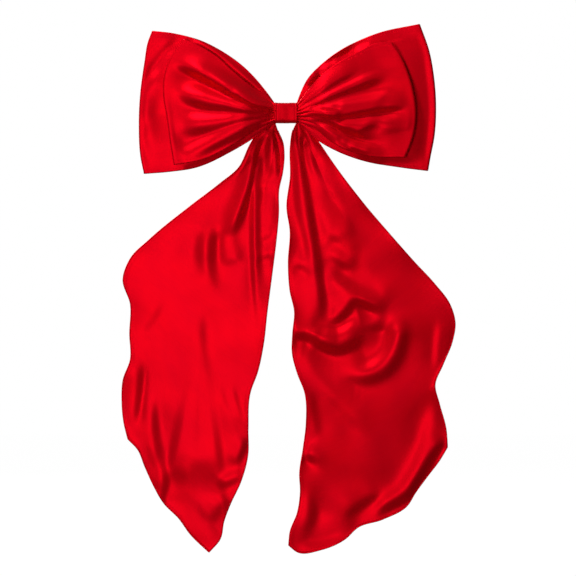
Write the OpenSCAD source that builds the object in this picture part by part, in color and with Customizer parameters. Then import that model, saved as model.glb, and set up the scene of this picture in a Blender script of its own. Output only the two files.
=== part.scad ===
// Oversized satin hair bow with double loops, two long tails and a spring hair clip.
// The bow stands as it is worn: +Z up, the loops' face towards -Y, the head on the +Y side.
// The origin is the middle of the clip's hair gap.

/* [Loops] */
// Width across both rear loops
rear_span = 198; // [160:1:240]
// Height of the rear loop's upper corner above the knot's middle
rear_rise = 59; // [40:1:70]
// Depth of the rear loop's lower corner below the knot's middle
rear_drop = 41; // [30:1:55]
// Width across both front loops
front_span = 164; // [120:1:190]
// Height of the front loop's upper corner
front_rise = 50; // [35:1:60]
// Depth of the front loop's lower corner
front_drop = 37; // [25:1:50]
// How far the outer edge of a loop bows out between its corners
edge_bow = 5; // [0:0.5:10]
// How full a rear loop is, front to back
rear_puff = 10; // [6:0.5:16]
// How full a front loop is, front to back
front_puff = 12; // [6:0.5:18]

/* [Tails] */
// Length of a tail below the knot's middle
tail_drop = 299; // [200:1:360]
// Distance from the middle to a tail's outer edge
tail_reach = 114; // [80:1:140]
// Thickness that the folds of a tail take up
tail_depth = 7; // [4:0.5:12]
// Gap between the tails below the knot
tail_gap = 3.6; // [2:0.2:12]
// Thickness of a tail where it is pinched
tail_neck = 3; // [2:0.1:4]

/* [Knot] */
// Width of the centre wrap, along the bow
wrap_w = 16; // [10:0.5:24]
// Height of the centre wrap
wrap_h = 13.8; // [12:0.2:20]
// Thickness of the wrap's folded satin
wrap_t = 1; // [0.6:0.1:1.6]
// Depth of the pinched tail fabric
tail_bundle = 2.8; // [2:0.1:5]
// Depth of the pinched rear loop fabric
rear_bundle = 4.8; // [3:0.1:8]
// Depth of the pinched front loop fabric
front_bundle = 4.8; // [3:0.1:8]
// Thickness of the gathering thread
thread_d = 0.5; // [0.3:0.05:0.8]
// Turns of the gathering thread
thread_turns = 5; // [3:1:7]

/* [Hair clip] */
// Length of the clip's base
clip_len = 80; // [60:1:100]
// Width of the base strip
clip_w = 8; // [7:0.5:12]
// Thickness of the base strip
base_t = 0.7; // [0.5:0.05:1]
// Radius of the base's arch
base_arch = 268; // [200:1:400]
// Length of the straight stretch at each end of the base
end_len = 11; // [10:0.5:14]
// Room for hair between the tension bar and the arm
hair_gap = 4.6; // [4.4:0.1:7]
// Distance from the base to the middle of the tension bar
bar_lift = 3.7; // [3.4:0.1:5]
// Width of the tension bar
bar_w = 4; // [3:0.5:5]
// Thickness of the tension bar
bar_t = 0.4; // [0.3:0.05:0.5]
// How far the tension bar gives way to the hair
bar_travel = 1.2; // [0.6:0.1:1.4]
// Thickness of the locking arm
arm_t = 0.6; // [0.4:0.05:0.9]
// Radius of the locking arm's arch
arm_arch = 703; // [500:1:1000]
// Radius of the hinge pin
pin_r = 0.8; // [0.6:0.05:1]
// Radius of the holes that the clip is sewn on by
sew_hole_r = 0.8; // [0.6:0.05:1]
// Thickness of a clasp finger
finger_t = 0.5; // [0.4:0.05:0.6]
// Length of the finger pad beyond the clasp
pad_len = 8.4; // [6:0.2:12]

/* [Hidden] */

satin = [0.77, 0.01, 0.06];
satin_deep = [0.62, 0.01, 0.05];
thread_red = [0.70, 0.02, 0.06];
steel = [0.72, 0.73, 0.75];
spring_steel = [0.62, 0.63, 0.66];

fit_gap = 0.1;      // between pieces of one body that lie on each other
soft_gap = 0.3;     // between soft solids of different bodies
run_gap = 0.05;     // between the pin and the arm's barrel

// Rise of an arch of radius r at distance x from its middle
function sag(r, x) = r - sqrt(r * r - x * x);

// Front to back, starting at the hair gap
bar_back = -hair_gap / 2;
base_back = bar_back - bar_t - bar_lift;
base_front = base_back - base_t;
wrap_back = base_back + sag(base_arch, wrap_w / 2) + fit_gap + wrap_t;
tail_waist_back = base_front - fit_gap;
rear_waist_back = tail_waist_back - tail_bundle - fit_gap;
front_waist_back = rear_waist_back - rear_bundle - fit_gap;
waist_front = front_waist_back - front_bundle;
wrap_front = waist_front - fit_gap - wrap_t;
wrap_hole_h = wrap_h - 2 * wrap_t;
waist_h = wrap_hole_h - 2 * fit_gap;
waist_half = wrap_w / 2 + 0.6;

// The loops turn about an upright axis beside the knot
loop_axis_y = front_waist_back + fit_gap / 2;
loop_neck_r = (rear_waist_back - waist_front) / 2;
loop_axis_x = waist_half + soft_gap + loop_neck_r;
neck_h = wrap_h / 2 + 0.4;

// The tails turn about a level axis under the knot
tail_y = tail_waist_back - tail_bundle / 2;
tail_neck_r = tail_neck / 2;
tail_axis_z = -(wrap_h / 2 + soft_gap * 3 + tail_neck_r);

// The clip along its length
base_half = clip_len / 2;
arch_half = base_half - end_len;
end_back = base_back + sag(base_arch, arch_half);
end_front = end_back - base_t;
ear_t = 0.6;
ear_r = 2.1;
pin_x = -base_half + ear_r + 0.4;
arm_front = hair_gap / 2;
pin_y = arm_front + sag(arm_arch, -pin_x) + arm_t / 2;
barrel_r = pin_r + run_gap + 0.75;
barrel_half = clip_w / 2 - ear_t - 0.2;
arm_half_w = barrel_half - 0.4;
bar_half = arch_half - 2;
bar_end_front = base_back + sag(base_arch, bar_half) + bar_travel + fit_gap;
bar_arch = bar_half * bar_half / (2 * (bar_back - bar_t - bar_end_front));
sew_x = arch_half + 1.5;

// The clasp at the free end
plate_x = base_half - 9;
plate_len = 10;
plate_y = arm_front + sag(arm_arch, plate_x);
plate_half_w = clip_w / 2;
window_x = plate_x + 2;
window_len = 5;
finger_x = window_x + 0.4;
finger_len = window_len - 0.8;
finger_out = 2.4;
window_half_w = finger_out + 0.1;
clasp_t = 0.5;
clasp_x = plate_x + 1;
clasp_len = base_half - 0.5 - clasp_x;
clasp_half_w = clip_w / 2 - 0.7;
clasp_back = end_back + clasp_t;
root_h = 0.2;
rivet_r = 0.6;
rivet_head_r = 1.1;
rivet_head_t = 0.35;
rivet_xs = [clasp_x + 1.6, base_half - 2];

// A strip bent to an arch of radius r, its back face at y where x is 0.
// bow is +1 where the ends lie towards the head, and -1 where the middle does.
module arched_strip(r, back, thick, half_w, from_x, to_x, bow) {
    from_a = asin(from_x / r);
    to_a = asin(to_x / r);
    inner = bow > 0 ? r : r - thick;
    turn = bow > 0 ? -90 : 90;
    start = bow > 0 ? from_a : -to_a;
    translate([0, back + bow * r, 0])
        rotate([0, 0, turn + start])
            rotate_extrude(angle = to_a - from_a, $fn = 180)
                translate([inner, -half_w])
                    square([thick, 2 * half_w]);
}

// A box from two corners
module block(low, high) {
    translate(low) cube(high - low);
}

// A flat outline in X and Z, with depth from y0 to y1
module upright_slab(y0, y1) {
    translate([0, y1, 0]) rotate([90, 0, 0]) linear_extrude(y1 - y0) children();
}

// ---- Loops ----

// The edge of a loop rises quickly beside the knot and levels out
function fan(u) = pow(sin(90 * u), 0.8);

fan_steps = 10;
edge_steps = 6;

// Outline of a left loop seen from the front
module loop_outline(half_span, rise, drop) {
    start = waist_half + soft_gap;
    corner = half_span - edge_bow;
    reach = corner - start;
    top = [for (i = [0:fan_steps]) let (u = i / fan_steps)
        [-start - reach * u, neck_h + (rise - neck_h) * fan(u)]];
    outer = [for (i = [1:edge_steps - 1]) let (u = i / edge_steps)
        [-corner - edge_bow * sin(180 * u), rise - (rise + drop) * u]];
    bottom = [for (i = [fan_steps:-1:0]) let (u = i / fan_steps)
        [-start - reach * u, -neck_h - (drop - neck_h) * fan(u)]];
    polygon(concat(top, outer, bottom));
}

// Outline of one layer of a left loop seen from above. side is +1 behind the axis, -1 in front.
module loop_plan(half_span, side, lean, puff) {
    inner_y = loop_axis_y + side * fit_gap / 2;
    reach = half_span - loop_axis_x;
    neck = [for (a = [3:12:87])
        [-loop_axis_x + loop_neck_r * cos(a), loop_axis_y + side * loop_neck_r * sin(a)]];
    outer_face = [for (i = [0:fan_steps]) let (u = i / fan_steps)
        [-loop_axis_x - reach * u,
            loop_axis_y + side * (loop_neck_r + (puff - loop_neck_r) * sin(180 * min(u, 0.75) / 1.5)
            - puff * 0.3 * pow(u, 6)) - lean * u]];
    inner_face = [for (i = [fan_steps:-1:0]) let (u = i / fan_steps)
        [-loop_axis_x - reach * u, inner_y + side * puff * 0.15 * pow(u, 6) - lean * u]];
    polygon(concat(neck, outer_face, inner_face));
}

loop_lean = 3;

module loop_solid(half_span, rise, drop, side, puff) {
    intersection() {
        upright_slab(loop_axis_y - 40, loop_axis_y + 40) loop_outline(half_span, rise, drop);
        translate([0, 0, -100]) linear_extrude(200) loop_plan(half_span, side, loop_lean, puff);
    }
}

module rear_loop_left() {
    color(satin_deep) loop_solid(rear_span / 2, rear_rise, rear_drop, 1, rear_puff);
}

module rear_loop_right() {
    color(satin_deep) mirror([1, 0, 0]) loop_solid(rear_span / 2, rear_rise, rear_drop, 1, rear_puff);
}

module front_loop_left() {
    color(satin) loop_solid(front_span / 2, front_rise, front_drop, -1, front_puff);
}

module front_loop_right() {
    color(satin) mirror([1, 0, 0]) loop_solid(front_span / 2, front_rise, front_drop, -1, front_puff);
}

// ---- Tails ----

// Outline of the left tail seen from the front, as shares of its reach and its drop
module tail_outline() {
    inner = tail_gap / 2;
    top = tail_axis_z + tail_neck_r;
    w = tail_reach;
    d = tail_drop;
    polygon([
        [-inner, top], [-wrap_w * 0.42, top], [-0.20 * w, -0.076 * d], [-0.45 * w, -0.185 * d],
        [-0.70 * w, -0.25 * d], [-0.90 * w, -0.31 * d], [-w, -0.39 * d], [-0.95 * w, -0.50 * d],
        [-w, -0.65 * d], [-0.96 * w, -0.745 * d], [-0.87 * w, -0.80 * d], [-0.73 * w, -0.90 * d],
        [-0.50 * w, -d], [-0.40 * w, -0.965 * d], [-0.24 * w, -0.79 * d], [-0.22 * w, -0.65 * d],
        [-0.12 * w, -0.48 * d], [-0.06 * w, -0.24 * d]
    ]);
}

// Side profile of a tail: round and thin where it turns, then as deep as its folds
module tail_profile() {
    lower = tail_axis_z - tail_drop * 0.2;
    round_top = [for (a = [180:-15:0])
        [tail_y + tail_neck_r * cos(a), tail_axis_z + tail_neck_r * sin(a)]];
    polygon(concat(round_top, [
        [tail_y + tail_depth / 2, lower], [tail_y + tail_depth / 2, -tail_drop - 1],
        [tail_y - tail_depth / 2, -tail_drop - 1], [tail_y - tail_depth / 2, lower]
    ]));
}

module tail_solid() {
    intersection() {
        upright_slab(tail_y - 30, tail_y + 30) tail_outline();
        translate([-tail_reach - 20, 0, 0]) rotate([90, 0, 90])
            linear_extrude(tail_reach + 40) tail_profile();
    }
}

module tail_left() {
    color(satin) tail_solid();
}

module tail_right() {
    color(satin) mirror([1, 0, 0]) tail_solid();
}

// ---- Knot ----

thread_band = thread_turns * thread_d * 1.1;

// The pinched middle of a strip: full at its ends, thinner under the thread on the named sides
module waist(back, depth, thin_back, thin_front) {
    half_h = waist_h / 2;
    cut = thread_d + fit_gap;
    difference() {
        block([-waist_half, back - depth, -half_h], [waist_half, back, half_h]);
        for (s = [-1, 1])
            translate([0, back - depth / 2, s * (half_h + 1 - cut)])
                cube([thread_band + 1, depth + 2, 2], center = true);
        if (thin_back)
            translate([0, back + 1 - cut, 0]) cube([thread_band + 1, 2, waist_h + 2], center = true);
        if (thin_front)
            translate([0, back - depth - 1 + cut, 0])
                cube([thread_band + 1, 2, waist_h + 2], center = true);
    }
}

module rear_waist() {
    color(satin_deep) waist(rear_waist_back, rear_bundle, false, false);
}

module front_waist() {
    color(satin_deep) waist(front_waist_back, front_bundle, false, true);
}

module tail_waist() {
    color(satin_deep) waist(tail_waist_back, tail_bundle, true, false);
}

module gathering_thread() {
    half_h = waist_h / 2;
    color(thread_red)
        for (i = [0:thread_turns - 1]) {
            x = (i - (thread_turns - 1) / 2) * thread_d * 1.1;
            difference() {
                block([x - thread_d / 2, waist_front, -half_h],
                    [x + thread_d / 2, tail_waist_back, half_h]);
                block([x - thread_d, waist_front + thread_d, -half_h + thread_d],
                    [x + thread_d, tail_waist_back - thread_d, half_h - thread_d]);
            }
        }
}

// A rectangle in Y and Z with round corners, long in X
module round_bar(y0, y1, h, r, len) {
    rotate([90, 0, 90]) translate([0, 0, -len / 2]) linear_extrude(len) {
        translate([y0 + r, -h / 2]) square([y1 - y0 - 2 * r, h]);
        translate([y0, -h / 2 + r]) square([y1 - y0, h - 2 * r]);
        for (y = [y0 + r, y1 - r], z = [-h / 2 + r, h / 2 - r])
            translate([y, z]) circle(r = r, $fn = 32);
    }
}

module centre_wrap() {
    color(satin) difference() {
        round_bar(wrap_front, wrap_back, wrap_h, wrap_t * 1.4, wrap_w);
        round_bar(wrap_front + wrap_t, wrap_back - wrap_t, wrap_hole_h, wrap_t * 0.3, wrap_w + 2);
    }
}

// Slanted stitches that close the wrap at its back
module wrap_stitches() {
    stitch_r = 0.25;
    color(thread_red)
        for (x = [-6:3:6])
            translate([x, wrap_back + stitch_r, -1.2])
                rotate([0, 25, 0]) cylinder(r = stitch_r, h = 2.6, $fn = 24);
}

// ---- Hair clip ----

// A loop of the base over one end of the tension bar
module bar_keeper(x) {
    half_w = bar_w / 2 + 0.3;
    lip = bar_end_front + bar_t + fit_gap + 0.12;
    root = base_back + sag(base_arch, bar_half - 2) - base_t / 2;
    for (s = [-1, 1])
        block([x - 0.8, root, s > 0 ? half_w : -half_w - 0.6],
            [x + 0.8, lip + 0.4, s > 0 ? half_w + 0.6 : -half_w]);
    block([x - 0.8, lip, -half_w - 0.6], [x + 0.8, lip + 0.4, half_w + 0.6]);
}

module ear(side) {
    z0 = side > 0 ? clip_w / 2 - ear_t : -clip_w / 2;
    block([pin_x - ear_r, end_back - base_t / 2, z0], [pin_x + ear_r, pin_y, z0 + ear_t]);
    translate([pin_x, pin_y, z0]) cylinder(r = ear_r, h = ear_t, $fn = 64);
}

module barrette_base() {
    half_w = clip_w / 2;
    color(steel) difference() {
        union() {
            arched_strip(base_arch, base_back, base_t, half_w, -arch_half, arch_half, 1);
            for (s = [-1, 1])
                block([s > 0 ? arch_half - 0.05 : -base_half, end_front, -half_w],
                    [s > 0 ? base_half : -arch_half + 0.05, end_back, half_w]);
            for (s = [-1, 1]) ear(s);
            for (s = [-1, 1]) bar_keeper(s * (bar_half - 1));
        }
        translate([pin_x, pin_y, -half_w - 1]) cylinder(r = pin_r, h = clip_w + 2, $fn = 64);
        for (x = [-sew_x, sew_x])
            translate([x, end_back + 1, 0]) rotate([90, 0, 0])
                cylinder(r = sew_hole_r, h = base_t + 2, $fn = 48);
        for (x = rivet_xs)
            translate([x, end_back + 1, 0]) rotate([90, 0, 0])
                cylinder(r = rivet_r, h = base_t + 2, $fn = 48);
    }
}

module hinge_pin() {
    head_r = pin_r + 0.5;
    head_t = 0.4;
    half = clip_w / 2;
    color(steel) {
        translate([pin_x, pin_y, -half]) cylinder(r = pin_r, h = 2 * half, $fn = 64);
        for (z = [-half - head_t, half])
            translate([pin_x, pin_y, z]) cylinder(r = head_r, h = head_t, $fn = 64);
    }
}

module locking_arm() {
    rib_half = 1;
    rib_t = 0.4;
    color(steel) difference() {
        union() {
            arched_strip(arm_arch, arm_front + arm_t, arm_t, arm_half_w,
                pin_x + pin_r + 0.3, plate_x + 0.05, 1);
            arched_strip(arm_arch, arm_front + arm_t + rib_t, rib_t + 0.1, rib_half,
                pin_x + 6, plate_x - 3, 1);
            translate([pin_x, pin_y, -barrel_half])
                cylinder(r = barrel_r, h = 2 * barrel_half, $fn = 64);
            block([plate_x, plate_y, -plate_half_w],
                [plate_x + plate_len, plate_y + arm_t, plate_half_w]);
        }
        translate([pin_x, pin_y, -barrel_half - 1])
            cylinder(r = pin_r + run_gap, h = 2 * barrel_half + 2, $fn = 64);
        block([window_x, plate_y - 1, -window_half_w],
            [window_x + window_len, plate_y + arm_t + 1, window_half_w]);
    }
}

module tension_bar() {
    color(spring_steel) arched_strip(bar_arch, bar_back, bar_t, bar_w / 2, -bar_half, bar_half, -1);
}

module clasp_body() {
    color(spring_steel) difference() {
        union() {
            block([clasp_x, end_back, -clasp_half_w], [clasp_x + clasp_len, clasp_back, clasp_half_w]);
            for (s = [-1, 1])
                block([finger_x, clasp_back - 0.1, s > 0 ? finger_out - finger_t : -finger_out],
                    [finger_x + finger_len, clasp_back + root_h, s > 0 ? finger_out : -finger_out + finger_t]);
        }
        for (x = rivet_xs)
            translate([x, clasp_back + 1, 0]) rotate([90, 0, 0])
                cylinder(r = rivet_r, h = clasp_t + 2, $fn = 48);
    }
}

// The upper finger: a leaf through the arm's window, a barb that holds the arm, and a pad to press
module clasp_finger() {
    foot = clasp_back + root_h + fit_gap;
    catch_y = plate_y + arm_t + fit_gap;
    tip = catch_y + 1.3;
    barb = 0.7;
    pad_top = plate_y - 0.5;
    pad_low = foot + 1;
    pad_end = finger_x + finger_len + pad_len;
    pad_r = (pad_top - pad_low) / 2;
    inside = finger_out - finger_t;
    leaf_end = finger_x + finger_len;
    pad_round = [for (a = [-90:15:90])
        [pad_end - pad_r + pad_r * cos(a), pad_low + pad_r + pad_r * sin(a)]];
    translate([0, 0, inside]) linear_extrude(finger_t)
        polygon(concat([[finger_x, foot], [leaf_end, foot], [leaf_end, pad_low]], pad_round,
            [[leaf_end, pad_top], [leaf_end, tip], [finger_x, tip]]));
    barb_in = finger_out - 0.2;
    translate([finger_x + 0.3, 0, 0]) rotate([90, 0, 90]) linear_extrude(finger_len - 0.6)
        polygon([[catch_y, barb_in], [catch_y, finger_out + barb], [tip - 0.2, barb_in]]);
}

module clasp_finger_upper() {
    color(spring_steel) clasp_finger();
}

module clasp_finger_lower() {
    color(spring_steel) mirror([0, 0, 1]) clasp_finger();
}

module clasp_rivets() {
    color(steel)
        for (x = rivet_xs) {
            translate([x, clasp_back, 0]) rotate([90, 0, 0])
                cylinder(r = rivet_r, h = clasp_back - end_front, $fn = 48);
            translate([x, clasp_back + rivet_head_t, 0]) rotate([90, 0, 0])
                cylinder(r = rivet_head_r, h = rivet_head_t, $fn = 48);
            translate([x, end_front, 0]) rotate([90, 0, 0])
                cylinder(r = rivet_head_r, h = rivet_head_t, $fn = 48);
        }
}

rear_loop_left();
rear_loop_right();
front_loop_left();
front_loop_right();
tail_left();
tail_right();
rear_waist();
front_waist();
tail_waist();
gathering_thread();
centre_wrap();
wrap_stitches();
barrette_base();
hinge_pin();
locking_arm();
tension_bar();
clasp_body();
clasp_finger_upper();
clasp_finger_lower();
clasp_rivets();
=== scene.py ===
import math

import bpy
import numpy as np
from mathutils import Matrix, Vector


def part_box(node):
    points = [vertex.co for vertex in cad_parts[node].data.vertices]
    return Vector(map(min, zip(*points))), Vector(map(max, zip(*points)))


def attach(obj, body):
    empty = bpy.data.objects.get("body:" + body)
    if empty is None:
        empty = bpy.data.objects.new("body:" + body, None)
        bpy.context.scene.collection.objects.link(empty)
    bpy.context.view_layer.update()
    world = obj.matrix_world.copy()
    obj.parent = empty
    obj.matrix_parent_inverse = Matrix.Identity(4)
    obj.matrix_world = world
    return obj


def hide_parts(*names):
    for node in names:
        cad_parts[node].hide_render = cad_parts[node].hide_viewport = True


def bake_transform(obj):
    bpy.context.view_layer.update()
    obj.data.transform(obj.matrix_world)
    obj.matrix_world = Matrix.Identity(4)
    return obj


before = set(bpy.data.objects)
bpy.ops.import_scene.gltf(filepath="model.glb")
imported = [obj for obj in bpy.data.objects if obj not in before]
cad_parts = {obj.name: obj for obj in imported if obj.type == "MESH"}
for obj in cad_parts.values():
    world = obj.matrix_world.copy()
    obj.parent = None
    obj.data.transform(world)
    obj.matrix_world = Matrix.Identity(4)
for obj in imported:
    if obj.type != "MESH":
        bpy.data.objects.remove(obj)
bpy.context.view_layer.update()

# Shapes are in millimetres from the middle of the knot, and become metres in mesh(). The stage, the
# lamps and the places where cloth bends are in metres, like the frame.
MM = 0.001

# ---------------------------------------------------------------- camera, light and stage

PICTURE_WIDTH = 391.7             # what the camera takes in at the bow, side to side, in mm
PICTURE_CENTRE = (1.4, -119.0)    # where it looks, along X and Z, in mm
BOW_DEPTH = -14.0                 # the satin's middle, along Y, in mm
CAMERA_DISTANCE = 2.4             # metres
SENSOR = 36.0                     # mm
LIT_POINT = (0, 0, -0.1)          # what every lamp is turned to, in metres
ROOM_LIGHT = 0.09                 # how strongly the white room lights the bow
FLOOR_LEVEL = -0.345              # just below the tails, in metres
FLOOR_REACH = 3.0                 # metres from the middle to each side
FLOOR_GLOW_SHARE = 0.93           # how much of the floor's look to the camera is plain white


def camera():
    """Straight on to the bow, from far enough away to see little perspective."""
    data = bpy.data.cameras.new("camera")
    data.sensor_width = SENSOR
    data.lens = SENSOR * (CAMERA_DISTANCE + BOW_DEPTH * MM) / (PICTURE_WIDTH * MM)
    cam = bpy.data.objects.new("camera", data)
    bpy.context.collection.objects.link(cam)
    x, z = PICTURE_CENTRE
    cam.location = (x * MM, -CAMERA_DISTANCE, z * MM)
    cam.rotation_euler = (math.radians(90), 0, 0)
    bpy.context.scene.camera = cam


def area_light(name, place, size, power):
    """A round lamp at a place in metres, turned to the bow."""
    data = bpy.data.lights.new(name, "AREA")
    data.shape = "DISK"
    data.size = size
    data.energy = power
    lamp = bpy.data.objects.new(name, data)
    bpy.context.collection.objects.link(lamp)
    lamp.location = place
    step = [a - b for a, b in zip(place, LIT_POINT)]
    flat = math.hypot(step[0], step[1])
    lamp.rotation_euler = (math.atan2(flat, step[2]), 0, math.atan2(step[0], -step[1]))


def lights():
    """A small key high on the left for the folds, a soft fill in front and one lamp for the back."""
    area_light("key", (-0.32, -0.42, 0.62), 0.14, 4.9)
    area_light("fill", (-0.28, -1.15, -0.13), 0.40, 4.9)
    area_light("back", (-0.5, 1.5, 0.5), 1.4, 30)


def surroundings():
    """White where the camera looks past the bow, softer as a source of light."""
    world = bpy.data.worlds.new("studio")
    bpy.context.scene.world = world
    world.use_nodes = True
    nodes, links = world.node_tree.nodes, world.node_tree.links
    nodes.clear()
    out = nodes.new("ShaderNodeOutputWorld")
    mix = nodes.new("ShaderNodeMixShader")
    path = nodes.new("ShaderNodeLightPath")
    links.new(path.outputs["Is Camera Ray"], mix.inputs[0])
    for slot, strength in ((1, ROOM_LIGHT), (2, 1.0)):
        white = nodes.new("ShaderNodeBackground")
        white.inputs["Color"].default_value = (1, 1, 1, 1)
        white.inputs["Strength"].default_value = strength
        links.new(white.outputs[0], mix.inputs[slot])
    links.new(mix.outputs[0], out.inputs[0])
    bpy.context.scene.view_settings.view_transform = "Standard"


def floor():
    """A pale floor under the tails: nearly white to the camera, and dim to the cloth above it."""
    signs = ((-1, -1), (1, -1), (1, 1), (-1, 1))
    corners = [(x * FLOOR_REACH, y * FLOOR_REACH, FLOOR_LEVEL) for x, y in signs]
    data = bpy.data.meshes.new("floor")
    data.from_pydata(corners, [], [(0, 1, 2, 3)])
    obj = bpy.data.objects.new("floor", data)
    bpy.context.collection.objects.link(obj)
    mat = bpy.data.materials.new("pale floor")
    mat.use_nodes = True
    nodes, links = mat.node_tree.nodes, mat.node_tree.links
    bsdf = nodes["Principled BSDF"]
    bsdf.inputs["Base Color"].default_value = (0.12, 0.12, 0.12, 1)
    bsdf.inputs["Roughness"].default_value = 0.8
    glow = nodes.new("ShaderNodeEmission")
    glow.inputs["Strength"].default_value = 1.07
    path = nodes.new("ShaderNodeLightPath")
    mix = nodes.new("ShaderNodeMixShader")
    shown = math_node(nodes, links, "MULTIPLY", path.outputs["Is Camera Ray"], FLOOR_GLOW_SHARE)
    links.new(shown, mix.inputs[0])
    links.new(bsdf.outputs[0], mix.inputs[1])
    links.new(glow.outputs[0], mix.inputs[2])
    links.new(mix.outputs[0], nodes["Material Output"].inputs["Surface"])
    data.materials.append(mat)


# ---------------------------------------------------------------- shaping helpers

def ease(t):
    """0 below 0, 1 above 1, and smooth between."""
    t = np.clip(t, 0, 1)
    return t * t * (3 - 2 * t)


def spline(points, t):
    """Places at the shares t along a smooth line through the points."""
    p = np.array(points, float)
    at = np.r_[0, np.cumsum(np.linalg.norm(np.diff(p, axis=0), axis=1))]
    at /= at[-1]
    slope = np.gradient(p, at, axis=0)
    t = np.asarray(t, float)
    i = np.clip(np.searchsorted(at, t, side="right") - 1, 0, len(p) - 2)
    h = (at[i + 1] - at[i])[:, None]
    s = ((t - at[i]) / h[:, 0])[:, None]
    return ((2 * s**3 - 3 * s**2 + 1) * p[i] + (s**3 - 2 * s**2 + s) * h * slope[i]
            + (3 * s**2 - 2 * s**3) * p[i + 1] + (s**3 - s**2) * h * slope[i + 1])


def nearest(places, points, count):
    """The nearest spot to each place on a smooth line through the points, drawn as count points.

    Gives the share along the line, the distance to it, the offset to its left, and its left normal.
    """
    path = spline(points, np.linspace(0, 1, count))
    start, step = path[:-1], np.diff(path, axis=0)
    along = step / np.linalg.norm(step, axis=1)[:, None]
    normal = np.stack([-along[:, 1], along[:, 0]], axis=1)
    rel = places.reshape(-1, 2)[:, None, :] - start
    t = np.clip((rel * step).sum(-1) / (step * step).sum(-1), 0, 1)
    dist = np.linalg.norm(rel - t[..., None] * step, axis=-1)
    k = dist.argmin(1)
    row = np.arange(len(rel))
    share = (k + t[row, k]) / len(start)
    return share, dist[row, k], (rel[row, k] * normal[k]).sum(-1), normal[k]


def fold(places, points, height, near, far, end):
    """How far one fold lifts each place: a ridge, or a valley where height is negative.

    The fold runs along a smooth line through the points. near and far are its half widths at the
    two ends, and end is the share over which it fades out.
    """
    share, away, _, _ = nearest(places, points, count=21)
    width = near + (far - near) * share
    lift = height * np.exp(-(away / width) ** 2) * ease((1 - share) / end)
    return lift.reshape(places.shape[:-1])


UP_LEFT = np.array([-0.5, 0.87])    # where the key light comes from, seen from the front
FACING_FLOOR = 0.3                  # so that a flank that hardly faces the light isn't made too steep


def flank(places, points, slope, near, far=None, begin=0.12, end=0.3):
    """How far one flank of a fold lifts each place.

    Along a smooth line through the points the cloth leans up and left for a slope above 0, or down
    and right for one below 0, and it comes back gently on both sides. near and far are the flank's
    half widths at the two ends, begin and end the shares over which it fades in and out.
    """
    far = near if far is None else far
    share, _, beside, normal = nearest(places, points, count=25)
    facing = normal @ UP_LEFT
    gain = facing / np.maximum(facing ** 2, FACING_FLOOR)
    width = near + (far - near) * share
    q = beside / width
    lift = -slope * width * gain * np.tanh(q) * np.exp(-(q / 4.0) ** 2)
    lift = lift * ease(share / begin) * ease((1 - share) / end)
    return lift.reshape(places.shape[:-1])


def calm(height, passes=3):
    """Rounds off the small corners that meeting folds leave."""
    for _ in range(passes):
        for axis in (0, 1):
            h = np.moveaxis(height, axis, 0)
            h[1:-1] = (h[:-2] + 2 * h[1:-1] + h[2:]) / 4
    return height


def folds(places, rows):
    """The sum of several folds and flanks, each a dict of its function's arguments."""
    total = np.zeros(places.shape[:-1])
    for row in rows:
        total += flank(places, **row) if "slope" in row else fold(places, **row)
    return calm(total)


def ripple(places, size, seed):
    """Gentle unevenness of the cloth, a few waves of about this size in millimetres."""
    rng = np.random.default_rng(seed)
    total = np.zeros(places.shape[:-1])
    waves = 7
    for _ in range(waves):
        turn = rng.uniform(0, 2 * math.pi)
        wave = 2 * math.pi / (size * rng.uniform(0.7, 1.5))
        across = places[..., 0] * math.cos(turn) + places[..., 1] * math.sin(turn)
        along = places[..., 1] * math.cos(turn) - places[..., 0] * math.sin(turn)
        start = rng.uniform(0, 6.3)
        bend = 0.8 * np.sin(along * wave * 0.6 + rng.uniform(0, 6.3))
        total += np.sin(across * wave + start + bend)
    return total / waves


# ---------------------------------------------------------------- meshes

def mesh(name, verts, faces, material, uv=None, edge=None):
    """A mesh object from points in millimetres. uv and edge hold cut cloth lengths, in millimetres."""
    data = bpy.data.meshes.new(name)
    data.from_pydata((np.asarray(verts) * MM).tolist(), [], faces)
    if uv is not None:
        layer = data.uv_layers.new(name="cloth")
        loop_vertex = np.zeros(len(data.loops), int)
        data.loops.foreach_get("vertex_index", loop_vertex)
        layer.data.foreach_set("uv", np.asarray(uv)[loop_vertex].ravel())
    if edge is not None:
        data.attributes.new("edge_mm", "FLOAT", "POINT").data.foreach_set("value", np.asarray(edge, float))
    data.polygons.foreach_set("use_smooth", [True] * len(data.polygons))
    data.materials.append(material)
    data.update()
    obj = bpy.data.objects.new(name, data)
    bpy.context.collection.objects.link(obj)
    return obj


def grid_faces(rows, cols, wrap=False):
    """Faces of a grid of points numbered row by row; wrap joins the last column to the first."""
    faces = []
    last = cols if wrap else cols - 1
    for i in range(rows - 1):
        here, above = i * cols, (i + 1) * cols
        for j in range(last):
            k = (j + 1) % cols
            faces.append((here + j, here + k, above + k, above + j))
    return faces


TUBE_SIDES = 8


def end_caps(total, sides):
    """The two end faces of a tube of this many points, with this many in each ring."""
    return [tuple(range(sides))[::-1], tuple(range(total - sides, total))]


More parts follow.
